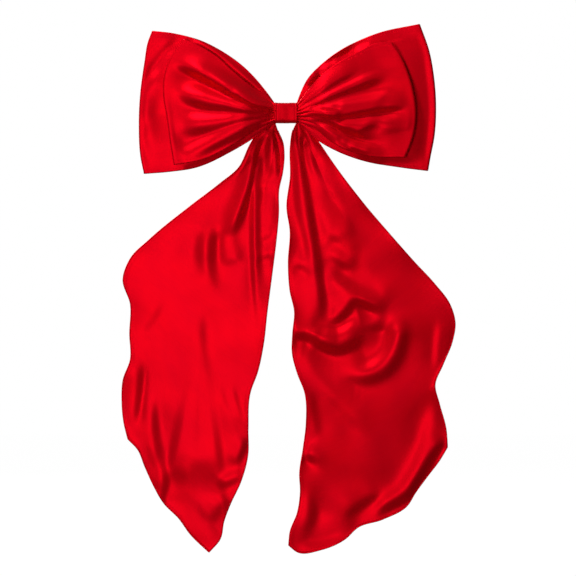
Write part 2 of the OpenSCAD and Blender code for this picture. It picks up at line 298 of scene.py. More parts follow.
def tube(path, radius, closed=False):
    """Points and faces of a round tube along a line of points."""
    path = np.asarray(path, float)
    if closed:
        ahead, behind = np.roll(path, -1, 0), np.roll(path, 1, 0)
    else:
        ahead = np.vstack([path[1:], path[-1:]])
        behind = np.vstack([path[:1], path[:-1]])
    run = ahead - behind
    run /= np.linalg.norm(run, axis=1)[:, None]
    side = np.cross(run, (0.03, 1.0, 0.02))
    side /= np.linalg.norm(side, axis=1)[:, None]
    up = np.cross(side, run)
    turn = np.arange(TUBE_SIDES) * 2 * math.pi / TUBE_SIDES
    c, s = np.cos(turn)[None, :, None], np.sin(turn)[None, :, None]
    ring = (c * side[:, None] + s * up[:, None]) * radius
    verts = (path[:, None] + ring).reshape(-1, 3)
    faces = grid_faces(len(path), TUBE_SIDES, wrap=True)
    if closed:
        last = (len(path) - 1) * TUBE_SIDES
        for j in range(TUBE_SIDES):
            k = (j + 1) % TUBE_SIDES
            faces.append((last + j, last + k, k, j))
    else:
        faces += end_caps(len(verts), TUBE_SIDES)
    return verts, faces


def thicken(obj, amount):
    """Give a sheet its thickness."""
    mod = obj.modifiers.new("thickness", "SOLIDIFY")
    mod.thickness = amount * MM
    mod.offset = 0


# ---------------------------------------------------------------- materials

def math_node(nodes, links, kind, a, b=None, c=None):
    """The output of one math node, whose inputs are numbers or other nodes' outputs."""
    node = nodes.new("ShaderNodeMath")
    node.operation = kind
    for slot, value in zip(node.inputs, (a, b, c)):
        if value is None:
            continue
        if isinstance(value, (int, float)):
            slot.default_value = value
        else:
            links.new(value, slot)
    return node.outputs[0]


def noise(nodes, links, places, scale, detail):
    """The strength of a noise texture at the places."""
    texture = nodes.new("ShaderNodeTexNoise")
    texture.inputs["Scale"].default_value = scale
    texture.inputs["Detail"].default_value = detail
    links.new(places, texture.inputs["Vector"])
    return texture.outputs["Fac"]


def ramp(nodes, links, value, low, high, dark, light):
    """A colour that goes from dark to light while the value goes from low to high."""
    node = nodes.new("ShaderNodeValToRGB")
    first, last = node.color_ramp.elements
    first.position, last.position = low, high
    first.color, last.color = (*dark, 1), (*light, 1)
    links.new(value, node.inputs[0])
    return node.outputs[0]


def bump(nodes, links, height, strength, distance):
    """The normal of a surface with this relief, its distance in metres."""
    node = nodes.new("ShaderNodeBump")
    node.inputs["Strength"].default_value = strength
    node.inputs["Distance"].default_value = distance
    links.new(height, node.inputs["Height"])
    return node.outputs[0]


def satin(name, colour, deep):
    """Red satin: long floats across the cloth, a soft gloss along them, and a stitched hem."""
    mat = bpy.data.materials.new(name)
    mat.use_nodes = True
    nodes, links = mat.node_tree.nodes, mat.node_tree.links
    bsdf = nodes["Principled BSDF"]
    bsdf.inputs["Roughness"].default_value = 0.48
    bsdf.inputs["Metallic"].default_value = 0.48
    bsdf.inputs["Specular IOR Level"].default_value = 0.2
    bsdf.inputs["Specular Tint"].default_value = (1.0, 0.04, 0.08, 1)
    bsdf.inputs["Anisotropic"].default_value = 0.35
    bsdf.inputs["Sheen Weight"].default_value = 0.05
    bsdf.inputs["Sheen Roughness"].default_value = 0.4
    bsdf.inputs["Sheen Tint"].default_value = (1.0, 0.01, 0.06, 1)

    tangent = nodes.new("ShaderNodeTangent")
    tangent.direction_type = "UV_MAP"
    tangent.uv_map = "cloth"
    links.new(tangent.outputs[0], bsdf.inputs["Tangent"])

    uv = nodes.new("ShaderNodeUVMap")
    uv.uv_map = "cloth"
    stretch = nodes.new("ShaderNodeMapping")
    stretch.inputs["Scale"].default_value = (0.05, 0.6, 1)
    links.new(uv.outputs[0], stretch.inputs["Vector"])
    slub = noise(nodes, links, stretch.outputs[0], 1.0, 4)
    links.new(satin_colour(nodes, links, uv, slub, colour, deep), bsdf.inputs["Base Color"])
    links.new(satin_relief(nodes, links, uv, slub), bsdf.inputs["Normal"])
    return mat


def satin_colour(nodes, links, uv, slub, colour, deep):
    """Patches of the two reds, faintly streaked by the slubs."""
    patch = noise(nodes, links, uv.outputs[0], 0.03, 2)
    blend = math_node(nodes, links, "MULTIPLY_ADD", slub, 0.35, patch)
    return ramp(nodes, links, blend, 0.45, 0.9, deep, colour)


def satin_relief(nodes, links, uv, slub):
    """The weave and its slubs, the raised hem and the dashed line of its stitches. Lengths are in mm."""

    def node(kind, *values):
        """One math node of this cloth."""
        return math_node(nodes, links, kind, *values)

    def wave(value, length):
        """A sine wave of a length in millimetres."""
        return node("SINE", node("MULTIPLY", value, 2 * math.pi / length))

    split = nodes.new("ShaderNodeSeparateXYZ")
    links.new(uv.outputs[0], split.inputs[0])
    warp = wave(split.outputs[1], 0.35)
    weft = wave(split.outputs[0], 0.9)
    weave = node("MULTIPLY_ADD", warp, 0.7, node("MULTIPLY", weft, 0.3))

    edge = nodes.new("ShaderNodeAttribute")
    edge.attribute_name = "edge_mm"
    hem_fold = node("SMOOTH_MIN", edge.outputs["Fac"], 3.0, 0.6)
    from_seam = node("ABSOLUTE", node("SUBTRACT", edge.outputs["Fac"], 2.2))
    on_seam = node("LESS_THAN", from_seam, 0.18)
    both = node("ADD", split.outputs[0], split.outputs[1])
    dash = node("GREATER_THAN", wave(both, 2.4), -0.3)
    stitch = node("MULTIPLY", on_seam, dash)
    relief = node("MULTIPLY_ADD", stitch, -2.5, node("MULTIPLY", hem_fold, -0.9))
    height = node("MULTIPLY_ADD", weave, 0.16, relief)
    height = node("MULTIPLY_ADD", slub, 0.8, height)
    return bump(nodes, links, height, 0.35, 0.0001)


def thread(name, colour):
    """Twisted sewing thread, with painted shade in the grooves of its twist."""
    mat = bpy.data.materials.new(name)
    mat.use_nodes = True
    nodes, links = mat.node_tree.nodes, mat.node_tree.links
    bsdf = nodes["Principled BSDF"]
    bsdf.inputs["Roughness"].default_value = 0.5
    bsdf.inputs["Sheen Weight"].default_value = 0.3
    where = nodes.new("ShaderNodeTexCoord")
    twist = nodes.new("ShaderNodeTexWave")
    twist.wave_type = "BANDS"
    twist.bands_direction = "DIAGONAL"
    twist.inputs["Scale"].default_value = 900
    twist.inputs["Distortion"].default_value = 1.5
    links.new(where.outputs["Object"], twist.inputs["Vector"])
    # painted shade: the colour goes darker in the grooves of the twist, where the relief is low
    shade = [c * 0.6 for c in colour]
    links.new(ramp(nodes, links, twist.outputs["Fac"], 0, 1, shade, colour), bsdf.inputs["Base Color"])
    links.new(bump(nodes, links, twist.outputs["Fac"], 0.6, 0.0001), bsdf.inputs["Normal"])
    return mat


def metal(name, colour, roughness, grain):
    """Rolled steel strip: fine lines along it, faint smudges and a little wear."""
    mat = bpy.data.materials.new(name)
    mat.use_nodes = True
    nodes, links = mat.node_tree.nodes, mat.node_tree.links
    bsdf = nodes["Principled BSDF"]
    bsdf.inputs["Metallic"].default_value = 1.0
    bsdf.inputs["Anisotropic"].default_value = 0.4
    where = nodes.new("ShaderNodeTexCoord")
    along = nodes.new("ShaderNodeMapping")
    along.inputs["Scale"].default_value = (60, 2500, 2500)
    links.new(where.outputs["Object"], along.inputs["Vector"])
    lines = noise(nodes, links, along.outputs[0], 1.0, 3)
    smudge = noise(nodes, links, where.outputs["Object"], 140, 5)
    half_smudge = math_node(nodes, links, "MULTIPLY", smudge, 0.5)
    mixed = math_node(nodes, links, "MULTIPLY_ADD", lines, 0.5, half_smudge)
    rough = nodes.new("ShaderNodeMapRange")
    rough.inputs["From Min"].default_value = 0.3
    rough.inputs["From Max"].default_value = 0.7
    rough.inputs["To Min"].default_value = roughness * 0.75
    rough.inputs["To Max"].default_value = roughness * 1.35
    links.new(mixed, rough.inputs["Value"])
    links.new(rough.outputs[0], bsdf.inputs["Roughness"])
    shade = [c * 0.78 for c in colour]
    links.new(ramp(nodes, links, mixed, 0.3, 0.65, shade, colour), bsdf.inputs["Base Color"])
    links.new(bump(nodes, links, lines, grain, 0.00005), bsdf.inputs["Normal"])
    return mat


RED = (0.80, 0.0003, 0.008)
DEEP_RED = (0.70, 0.0002, 0.009)
WRAP_RED = (0.60, 0.0002, 0.006)
satin_red = satin("red satin", RED, DEEP_RED)
satin_wrap = satin("red satin of the wrap", WRAP_RED, WRAP_RED)
thread_red = thread("red thread", (0.5, 0.002, 0.012))
clip_steel = metal("plated steel", (0.80, 0.80, 0.82), 0.22, 0.15)
spring_steel = metal("spring steel", (0.62, 0.63, 0.66), 0.32, 0.35)

# ---------------------------------------------------------------- loops

WALL_ROWS = 121        # across the strip
FRONT_COLS = 131       # along the front wall, knot to outer fold
TURN_COLS = 9          # round the outer fold
BACK_COLS = 81         # along the back wall
LOOP_SATIN = 0.45      # how thick a loop's satin is


def loop_places(shape, share):
    """X and Z over one wall of a loop: rows run across the strip, columns from the knot outwards."""
    v = np.linspace(0, 1, WALL_ROWS)
    top = spline(shape["top"], share)
    bottom = spline(shape["bottom"], share)
    outer = spline(shape["outer"], v)
    low, high = np.array(shape["bottom"][-1]), np.array(shape["top"][-1])
    chord = low + (high - low) * v[:, None]
    flat = bottom[None] + (top - bottom)[None] * v[:, None, None]
    return flat + (outer - chord)[:, None] * (share ** 3)[None, :, None]


def pleats(v, u, count, depth, reach, seed):
    """Gathers that fan out of the knot: sharp valleys, round crests, each with its own length."""
    rng = np.random.default_rng(seed)
    drift = rng.uniform(-0.25, 0.25, 3)
    phase = count * v + drift[0] * np.sin(3 * v + 1) + 0.35 * u * np.sin(9 * v + drift[1] * 9)
    crest = np.abs(np.sin(math.pi * phase)) ** 0.8
    own = 1 + 0.45 * np.sin(5.3 * v * count / 4 + seed) + 0.25 * np.sin(11 * v + 2 * seed)
    return depth * own * crest * np.exp(-(u / reach) ** 1.3)


def beyond(u, start):
    """How much of the rest of the way from start to the outer fold lies behind u; below 0 before it."""
    return (u - start) / (1 - start)


def loop(name, shape, side):
    """One loop: front wall, rounded outer fold and back wall, open along its two long edges."""
    v = np.linspace(0, 1, WALL_ROWS)[:, None]
    bulge = 1 - np.abs(2 * v - 1) ** 2.4
    edge_open = shape["edge_open"] + (1 - shape["edge_open"]) * bulge

    def half(u):
        """Half the distance between the walls, before the edges draw in."""
        swell = (shape["full_half"] - shape["knot_half"]) * ease(u / 0.36)
        narrow = (shape["full_half"] - shape["turn_r"]) * ease(beyond(u, 0.22))
        return shape["knot_half"] + swell - narrow

    def middle(u):
        """Where the middle between the walls lies along Y."""
        first = (shape["full_y"] - shape["knot_y"]) * ease(u / 0.4)
        then = (shape["outer_y"] - shape["full_y"]) * np.clip(beyond(u, 0.2), 0, 1) ** 1.2
        return shape["knot_y"] + first + then

    def wall(u, out, gathers, creases, still_from):
        """Y over one wall, with its gathers and creases. out is -1 for the front wall, 1 for the back."""
        open_here = edge_open + (1 - edge_open) * ease(beyond(u, 0.8))
        still = 1 - ease(beyond(u, still_from))
        return middle(u) + out * (half(u) * open_here + gathers + creases * still)

    seed = shape["seed"]
    count, depth = shape["pleats"], shape["pleat_depth"]
    u = np.linspace(0, 1, FRONT_COLS)
    xz_front = loop_places(shape, u)
    gathers = pleats(v, u, count, depth, reach=0.15, seed=seed)
    uneven = shape["ripple"] * ripple(xz_front, size=26, seed=seed)
    creases = folds(xz_front, shape["folds"]) + uneven
    front = wall(u, -1, gathers, creases, still_from=0.96)

    ub = np.linspace(1, 0, BACK_COLS)
    xz_back = loop_places(shape, ub)
    gathers = pleats(v, ub, count, depth * 0.8, reach=0.34, seed=seed + 3)
    uneven = shape["ripple"] * ripple(xz_back, size=30, seed=seed + 7)
    creases = folds(xz_back, shape["back_folds"]) + uneven
    back = wall(ub, 1, gathers, creases, still_from=0.93)

    turn = np.linspace(0, math.pi, TURN_COLS + 2)[1:-1]
    rim = xz_front[:, -1]
    out = np.array([side, 0.0])
    turn_xz = rim[:, None] + out * (np.sin(turn) * shape["turn_r"] * 0.7)[None, :, None]
    centre = (front[:, -1] + back[:, 0])[:, None] / 2
    reach = (back[:, 0] - front[:, -1])[:, None] / 2
    turn_y = centre - reach * np.cos(turn)[None]

    xz = np.concatenate([xz_front, turn_xz, xz_back], axis=1)
    y = np.concatenate([front, turn_y, back], axis=1)
    rows, cols = y.shape
    verts = np.stack([xz[..., 0], y, xz[..., 1]], axis=-1)

    length, width = shape["strip"]
    half_length = length / 2
    turn_length = 2        # cloth round the outer fold
    over_turn = half_length + turn / math.pi * turn_length
    along = np.r_[u * half_length, over_turn, half_length + turn_length + (1 - ub) * half_length]
    uv = np.stack(np.broadcast_arrays(along[None, :], v * width), axis=-1).reshape(-1, 2)
    edge = np.broadcast_to(np.minimum(v, 1 - v) * width, (rows, cols)).ravel()
    faces = grid_faces(rows, cols)
    if side < 0:
        faces = [f[::-1] for f in faces]
    obj = mesh(name, verts.reshape(-1, 3), faces, satin_red, uv, edge)
    thicken(obj, LOOP_SATIN)
    return obj


def line(*points, **how):
    """One fold's arguments, with its line written as plain points."""
    how["points"] = points
    return how


# A loop's shape. Seen from the front, top and bottom run from the knot outwards, and outer runs from
# bottom to top. Along Y, its middle lies at knot_y, full_y and outer_y, at the knot, where it is
# fullest and at the outer fold, and its walls stand knot_half, full_half and turn_r from there.
# edge_open is the share of that which is left at the two long edges. pleats and pleat_depth are its
# gathers at the knot, ripple the height of its unevenness, and strip its cloth's length and width.

LEFT_REAR = dict(
    top=[(-7, 5.5), (-10, 10), (-16, 18), (-31, 33.5), (-45, 43), (-59, 49.8), (-77, 54.5), (-90, 56)],
    bottom=[(-7, -5.5), (-12, -10), (-22, -17), (-37, -26), (-61, -37), (-80, -40), (-95.5, -41.2)],
    outer=[(-95.5, -41.2), (-97.8, -30), (-99, -8), (-98, 14), (-95, 36), (-93, 48), (-90, 56)],
    knot_y=-12.5, full_y=-12.2, outer_y=-10.2, knot_half=1.6, full_half=3.6, turn_r=1.5, edge_open=0.35,
    pleats=6, pleat_depth=0.9, seed=2, ripple=0.4, strip=(186, 103),
    folds=[
        line((-96, 24), (-88, 36), (-78, 48), (-72, 55), slope=-0.47, near=2.5, far=2.5, begin=0.3),
        line((-98, 12), (-90, 28), (-82, 40), (-74, 49), slope=0.47, near=3.5, far=2.5, begin=0.3),
        line((-86, 20), (-91, 2), (-88, -24), slope=-0.18, near=4, far=5, begin=0.3),
        line((-94, 0), (-95, -18), (-92, -36), slope=0.18, near=3, far=4, begin=0.3),
        line((-66, 51), (-58, 48), (-46, 41.5), (-36, 33.8), (-22, 21.5), (-14, 14),
             slope=0.6, near=2.0, far=1.8),
        line((-64, 49.6), (-58, 46.2), (-46, 38.8), (-36, 29.6), (-22, 18.2), (-13, 11.5),
             slope=-1.1, near=0.9, far=0.9),
        line((-72, -38), (-50, -31), (-26, -18), slope=-0.54, near=2, far=1.2),
    ],
    back_folds=[
        line((-12, 4), (-40, 20), (-78, 40), height=2.4, near=3, far=9, end=0.4),
        line((-12, 0), (-44, 4), (-84, 10), height=-1.8, near=2.5, far=8, end=0.4),
        line((-12, -3), (-40, -12), (-80, -24), height=2.2, near=2.5, far=9, end=0.4),
        line((-12, 6), (-30, 28), (-60, 46), height=-1.4, near=2, far=5, end=0.4),
    ],
)

RIGHT_REAR = dict(
    top=[(7, 5.5), (9, 11), (14, 22), (25, 34), (40, 44.5), (64, 55), (90, 60.6)],
    bottom=[(7, -5.5), (12, -10), (21, -18), (35, -26), (50, -31.7), (78, -37), (95.6, -39.2)],
    outer=[(95.6, -39.2), (97, -31), (100, -15), (101, 5), (99.7, 24), (96.5, 42), (90, 60.6)],
    knot_y=-12.5, full_y=-12.2, outer_y=-10.6, knot_half=1.6, full_half=3.6, turn_r=1.5, edge_open=0.35,
    pleats=6, pleat_depth=0.9, seed=5, ripple=0.4, strip=(186, 103),
    folds=[
        line((84, 54), (91, 28), (94, -6), (93, -36), slope=-0.14, near=12, far=12, begin=0.05, end=0.1),
        line((24, 33), (34, 39), (50, 47), slope=-1.0, near=2.4, far=2.4, begin=0.3),
        line((22, 30), (28, 33), (36, 38), slope=0.68, near=1.6, far=2, begin=0.3),
        line((41, 43), (50, 45), (60, 49), slope=0.54, near=2, far=2, begin=0.3),
        line((14.5, 17), (19, 22.5), (24, 28), slope=-1.0, near=2.2, begin=0.3),
        line((48, -28), (58, -31), (68, -35), slope=-0.54, near=2, far=2, begin=0.3),
    ],
    back_folds=[
        line((12, 4), (40, 22), (80, 44), height=2.4, near=3, far=9, end=0.4),
        line((12, 0), (44, 4), (86, 6), height=-1.8, near=2.5, far=8, end=0.4),
        line((12, -3), (40, -14), (80, -24), height=2.2, near=2.5, far=9, end=0.4),
    ],
)

LEFT_FRONT = dict(
    top=[(-7, 5), (-10, 9.5), (-22, 16.6), (-36, 28), (-46, 37.4), (-58, 45), (-68.3, 49.6)],
    bottom=[(-7, -5), (-12, -7.5), (-21, -12), (-39, -23.3), (-60, -32.8), (-75, -35.2)],
    outer=[(-75, -35.2), (-77.5, -20), (-80, -2), (-82, 10), (-82.3, 18), (-80.5, 29), (-75.5, 40),
           (-68.3, 49.6)],
    knot_y=-17.4, full_y=-20.8, outer_y=-18.0, knot_half=1.7, full_half=6.4, turn_r=1.5, edge_open=0.3,
    pleats=7, pleat_depth=1.5, seed=1, ripple=0.15, strip=(152, 82),
    folds=[
        line((-9, -0.3), (-24, 5.3), (-31, 8.9), (-39, 13.4), (-48, 18.6), (-57, 23.6), (-67, 28.5),
             (-79, 33),
             slope=-1.3, near=0.8, far=2.8, end=0.3),
        line((-8, 4.4), (-20, 10.6), (-32, 18.5), (-46, 27.5), (-62, 37),
             slope=0.8, near=1.8, far=5, begin=0.03, end=0.6),
        line((-10, -1.6), (-26, 0.4), (-41, 2.6), (-57, 4.6), (-71, 11), (-80, 18),
             slope=-0.7, near=0.8, far=3.6, end=0.4),
        line((-20, 3.4), (-36, 8), (-53, 15), (-67, 22), slope=0.35, near=1.5, far=3.5, end=0.3),
        line((-34, -2), (-52, -2.6), (-70, -1), slope=0.3, near=2.0, far=4),
        line((-10, -2.9), (-22, -4.4), (-36, -7.6), (-50, -11.4), (-62, -13), (-76, -11),
             slope=-0.62, near=0.8, far=4.4, end=0.35),
        line((-16, -4.6), (-35, -8.8), (-49, -14.4), (-62, -21.6), (-73, -29),
             slope=0.5, near=1.0, far=4, end=0.15),
        line((-10.7, -4.2), (-22, -9.4), (-36, -16.8), (-50, -24), (-66, -32),
             slope=-0.62, near=0.8, far=2.4, end=0.35),
        line((-33.5, 11.5), (-37, 14), (-41, 14.4), slope=0.5, near=1.0, begin=0.3),
    ],
    back_folds=[],
)

RIGHT_FRONT = dict(
    top=[(7, 5), (9.5, 8), (15.6, 15.7), (27, 28), (50, 41.8), (62, 47.5), (71, 47.8)],
    bottom=[(7, -5), (10, -6.5), (19, -10), (28, -17.5), (38, -24), (55.5, -29.4), (79.8, -30.3)],
    outer=[(79.8, -30.3), (84, -20), (86.4, -10), (87.1, 0), (85, 16), (81, 29), (76, 40), (71, 47.8)],
    knot_y=-17.4, full_y=-20.8, outer_y=-17.6, knot_half=1.7, full_half=6.4, turn_r=1.5, edge_open=0.3,
    pleats=7, pleat_depth=1.5, seed=4, ripple=0.15, strip=(158, 82),
    folds=[
        line((10, 4.4), (20, 10.5), (34.6, 20), (52, 29), slope=-0.61, near=0.9, far=2.6),
        line((9.5, 0), (24, 10), (38, 17.6), (59, 26.5), (78, 31), slope=0.42, near=0.9, far=3.2),
        line((12, 1), (26, 7.9), (41.6, 14), (59, 20.5), (70, 24.5), slope=-0.74, near=0.8, far=2.6),
        line((14, -0.4), (33, 6), (50, 9.5), (68, 13), (82, 15), slope=0.57, near=1.2, far=4.5),
        line((12, -1), (22, -1.8), (30, -3.4), (36, -3.2), (46, -1.6), (59, 0.6), (73, 2.4), (84, 4.2),
             slope=-1.15, near=0.7, far=2.0, end=0.2),
        line((22, 1.6), (29, 1.6), (34, 1.2), (38, 0.2), slope=1.1, near=1.2, begin=0.3),
        line((34, -6.6), (50, -5.4), (66, -3.4), (80, -2), slope=0.47, near=1.8, far=3.5),
        line((15.5, -4.2), (28.6, -6.8), (38, -11.2), (50, -15.5), (60, -20),
             slope=-0.6, near=0.8, far=2.6),
        line((19, -7), (31, -11.6), (42, -17.6), (55.5, -22.4), (70, -26), slope=0.54, near=1.0, far=2.8),
        line((33, -19), (39, -22), (44, -24.5), slope=0.4, near=1.2, begin=0.3),
        line((42, -23), (49, -26), (58, -28.5), slope=-0.45, near=1.3, begin=0.3),
        line((56, 2), (64, -6), (66, -16), slope=0.16, near=5, far=6, begin=0.3),
    ],
    back_folds=[],
)


def make_loops():
    """The four loops: rear and front, left and right."""
    rows = [
        ("rear_loop_left", LEFT_REAR, -1, "left_loops"),
        ("rear_loop_right", RIGHT_REAR, 1, "right_loops"),
        ("front_loop_left", LEFT_FRONT, -1, "left_loops"),
        ("front_loop_right", RIGHT_FRONT, 1, "right_loops"),
    ]
    for node, shape, side, body in rows:
        piece = loop(node + "_satin", shape, side)
        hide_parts(node)
        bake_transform(piece)


# ---------------------------------------------------------------- tails

TAIL_ROWS = 231        # knot to end
TAIL_COLS = 131        # outer edge to inner edge
TAIL_DEPTH = -8.6      # the tails' middle, along Y
TAIL_SATIN = 0.35      # how thick a tail's satin is
HEM_RADIUS = 0.5
HEM_FIRST_ROW = 5      # the pinch above it has no hem
NO_EDGE = 9.0          # an edge distance that puts a piece out of reach of the hem's stitches


def tail_places(shape):
    """X and Z over a tail, from its four edges: pinch, outer edge, slanted end and inner edge."""
    t = np.linspace(0, 1, TAIL_ROWS)
    s = np.linspace(0, 1, TAIL_COLS)
    outer, inner = spline(shape["outer"], t), spline(shape["inner"], t)
    pinch, end = spline(shape["pinch"], s), spline(shape["end"], s)
    t, s = t[:, None, None], s[None, :, None]
    ruled = outer[:, None] * (1 - s) + inner[:, None] * s + pinch[None] * (1 - t) + end[None] * t
    corners = (pinch[0] * (1 - s) * (1 - t) + pinch[-1] * s * (1 - t)
               + end[0] * (1 - s) * t + end[-1] * s * t)
    return ruled - corners


def tail(name, shape, side):
    """One tail, a sheet with gathers, folds and a wavy rim, and the rolled hem along its free edges."""
    xz = tail_places(shape)
    t = np.linspace(0, 1, TAIL_ROWS)[:, None]
    s = np.linspace(0, 1, TAIL_COLS)[None, :]
    seed = shape["seed"]
    y = TAIL_DEPTH - pleats(s, t, shape["pleats"], shape["pleat_depth"], reach=0.13, seed=seed)
    y = y - folds(xz, shape["folds"]) - shape["ripple"] * ripple(xz, size=34, seed=seed) * ease(t / 0.15)
    typical_width, typical_length = 100, 300
    rim = np.minimum(np.minimum(s, 1 - s) * typical_width, (1 - t) * typical_length)
    rim_reach = 7          # how far in from the rim its waves fade
    wavy = np.sin(xz[..., 1] / shape["wave"] + 1.3 * np.sin(xz[..., 0] / 23)) * np.exp(-rim / rim_reach)
    y = y - shape["wave_height"] * wavy * ease(t / 0.2)
    turn_axis = 55         # the cloth outside this X goes back, and the cloth inside it comes forward
    y = y + shape["turn_back"] * (np.abs(xz[..., 0]) - turn_axis) * ease(t / 0.3)
    rows, cols = y.shape
    verts = np.stack([xz[..., 0], y, xz[..., 1]], axis=-1)
    length, width = shape["cut"]
    uv = np.stack(np.broadcast_arrays(s * width, t * length), axis=-1).reshape(-1, 2)
    faces = grid_faces(rows, cols)
    if side < 0:
        faces = [f[::-1] for f in faces]
    obj = mesh(name, verts.reshape(-1, 3), faces, satin_red, uv, rim.ravel())
    thicken(obj, TAIL_SATIN)
    outer, end, inner = verts[HEM_FIRST_ROW:, 0], verts[-1, 1:-1], verts[HEM_FIRST_ROW:, -1]
    hem_verts, hem_faces = tube(np.concatenate([outer, end, inner[::-1]]), HEM_RADIUS)
    hem_uv = np.zeros((len(hem_verts), 2))
    hem = mesh(name + "_hem", hem_verts, hem_faces, satin_red, hem_uv, np.full(len(hem_verts), NO_EDGE))
    return obj, hem


# A tail's shape. Seen from the front, pinch and end run across, from the outer edge to the inner one,
# and outer and inner run down. cut is its cloth's length and width, wave_height the height of the
# waves along its rim, 2 pi times wave their spacing, and turn_back how far it is turned, as a slope.

LEFT_TAIL = dict(
    pinch=[(-8.5, -0.5), (-8, -3), (-7.6, -5.5)],
    outer=[(-8.5, -0.5), (-14, -6), (-24, -20.8), (-32, -37), (-45, -48), (-66, -64), (-93, -86),
           (-106, -99), (-111, -113), (-106, -130), (-106.5, -150), (-106, -168), (-111, -182),
           (-111.8, -196), (-110.4, -211), (-107.7, -222)],
    end=[(-107.7, -222), (-101, -229), (-96, -241), (-90, -254), (-83, -266), (-73, -276), (-65, -287),
         (-52.5, -299)],
    inner=[(-7.6, -5.5), (-5.5, -12), (-2.2, -20), (-1.4, -28), (-2.4, -40), (-5, -52), (-5.2, -68),
           (-7, -88), (-9.5, -108), (-13, -135), (-15.5, -157), (-19.5, -176), (-24.5, -190), (-26, -215),
           (-26.2, -233), (-31, -251), (-38, -266), (-42.5, -278), (-45, -290), (-52.5, -299)],
    cut=(305, 112), pleats=3, pleat_depth=0.9, seed=3, ripple=0.5,
    wave=9.0, wave_height=1.0, turn_back=0.07,
    folds=[
        line((-15, -14), (-18.5, -22), (-21.5, -36), (-23.5, -48), (-28, -62), (-33, -76), (-38, -90),
             slope=-0.95, near=1.3, far=3.2),
        line((-22, -26), (-30, -50), (-36, -66), (-44, -86), slope=0.35, near=3, far=6),
        line((-12, -14), (-12.5, -30), (-11, -46), slope=0.3, near=1.5, far=2),
        line((-13, -14), (-16.5, -23), (-19.5, -34), (-22.5, -50), (-23.2, -70), (-23, -90), (-22, -118),
             (-19, -150),
             slope=0.55, near=0.9, far=1.4),
        line((-17, -30), (-19, -60), (-19, -90), (-17, -120), slope=-0.35, near=2, far=2),
        line((-8, -11), (-7, -22), (-5.5, -32), (-4.5, -44), slope=-0.95, near=1.1, far=1.3),
        line((-5, -16), (-3.2, -26), (-3.5, -38), slope=0.4, near=1.0, far=1.2),
        line((-8, -48), (-13, -51), (-19, -52), slope=-0.3, near=2, begin=0.3),
        line((-7, -80), (-12, -84), (-19, -88), slope=-0.3, near=1.8, begin=0.3),
        line((-8, -97), (-14, -98), (-22, -101), slope=-0.5, near=1.6, begin=0.2),
        line((-48, -74), (-50, -91), (-50, -107), (-45, -126),
             slope=-0.34, near=2.8, far=3.6, begin=0.25),
        line((-56, -76), (-58.6, -98), (-53, -116), slope=0.3, near=3, far=4, begin=0.3),
        line((-44, -80), (-44, -94), (-42, -106), slope=0.25, near=2, far=3, begin=0.3),
        line((-35, -82), (-32, -94), (-31, -104), slope=-0.2, near=2.4, far=3, begin=0.3),
        line((-56, -128), (-56, -159), (-50, -186), slope=-0.16, near=3, far=3, begin=0.4, end=0.4),
        line((-82, -126), (-91, -141), (-101, -152), slope=-0.2, near=2.4, far=3, begin=0.4),
        line((-98.5, -166), (-99.3, -182), (-101, -198), (-104.5, -217),
             slope=-0.3, near=2.8, far=2.6, begin=0.3),
        line((-94.5, -168), (-96, -192), (-98, -214), slope=0.16, near=1.8, far=1.8, begin=0.3),
        line((-89, -188), (-89, -212), (-86, -232), (-82, -245), (-81, -262),
             slope=-0.38, near=2.6, far=3.6, begin=0.35, end=0.2),
        line((-96, -222), (-91, -236), (-84, -254), slope=0.3, near=3, far=2, begin=0.3),
        line((-45, -184), (-40, -199), (-34, -213), (-28, -226),
             slope=-0.36, near=2.2, far=2.4, begin=0.3),
        line((-36, -184), (-32.5, -198), (-28, -213), slope=-0.35, near=1.6, far=2, begin=0.3),
        line((-26.5, -220), (-29, -230), (-35, -241), slope=-0.6, near=1.6, far=1.8, begin=0.25),
        line((-29, -248), (-37, -251), (-46, -256), slope=-0.45, near=2, far=2.4, begin=0.2),
        line((-30, -243), (-38, -246), (-48, -250), slope=0.3, near=2, far=2.4, begin=0.25),
        line((-66, -234), (-62, -256), (-55, -272), slope=-0.2, near=4, far=5, begin=0.3),
        line((-84, -246), (-62, -250), (-40, -248), slope=-0.16, near=12, far=12, begin=0.15, end=0.15),
        line((-42, -262), (-46, -272), (-56, -280), slope=-0.3, near=3, far=4, begin=0.25),
    ],
)

